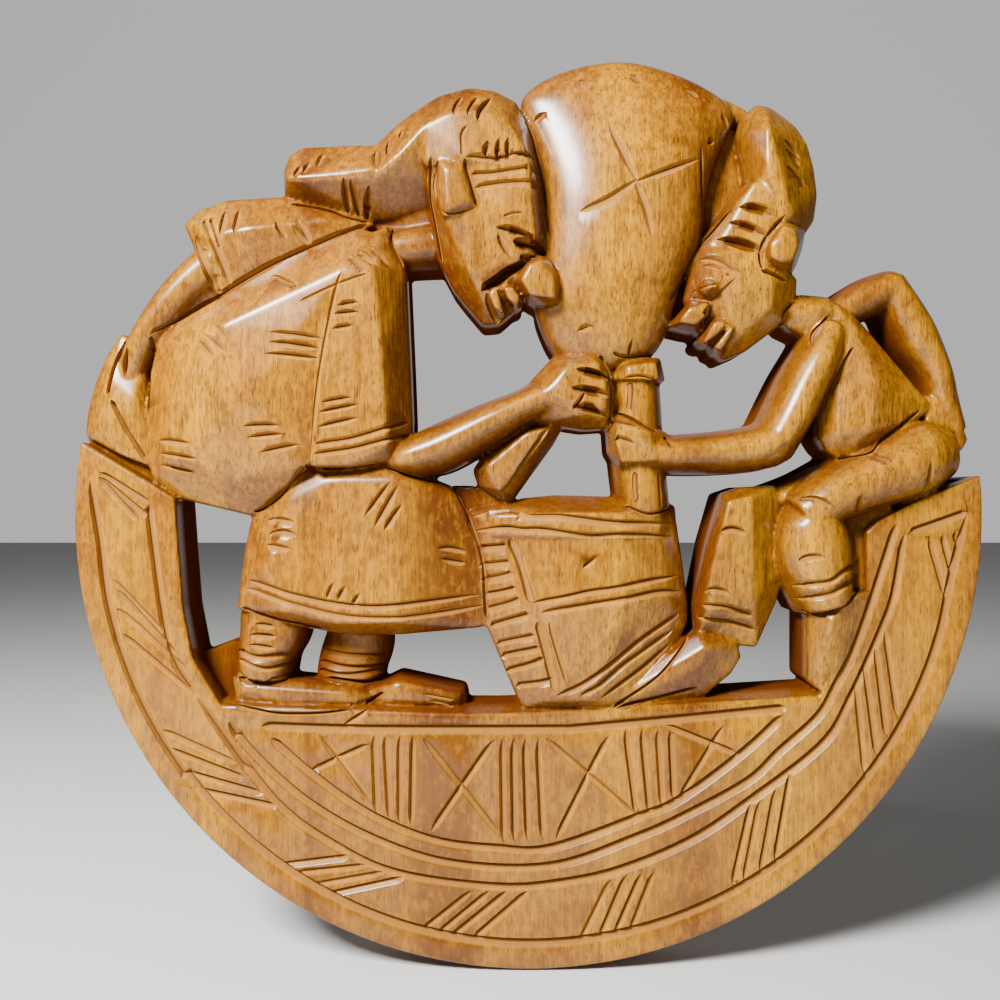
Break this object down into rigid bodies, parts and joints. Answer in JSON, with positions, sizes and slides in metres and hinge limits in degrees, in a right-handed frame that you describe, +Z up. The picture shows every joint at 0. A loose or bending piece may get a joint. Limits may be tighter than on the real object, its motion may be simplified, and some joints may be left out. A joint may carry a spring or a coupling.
{
  "type": "carved wall plaque",
  "caption": "Round openwork wall plaque of carved wood: a woman and a smaller figure pound grain in a mortar above a crescent rim with cut patterns. Its flat back hangs on a wall.",
  "frame": {"origin": "on the flat back, at the centre of the round rim", "axes": "+Y out of the flat back towards the wall, so the carved face looks along -Y; +Z up as it hangs; +X to the right as the carving is seen"},
  "size_m": [0.28, 0.0305, 0.2809],
  "materials": {
    "varnished_wood": "golden-brown hardwood with vertical stripes under glossy varnish"
  },
  "bodies": {
    "root": {"carved_plaque": "varnished_wood"}
  },
  "joints": []
}
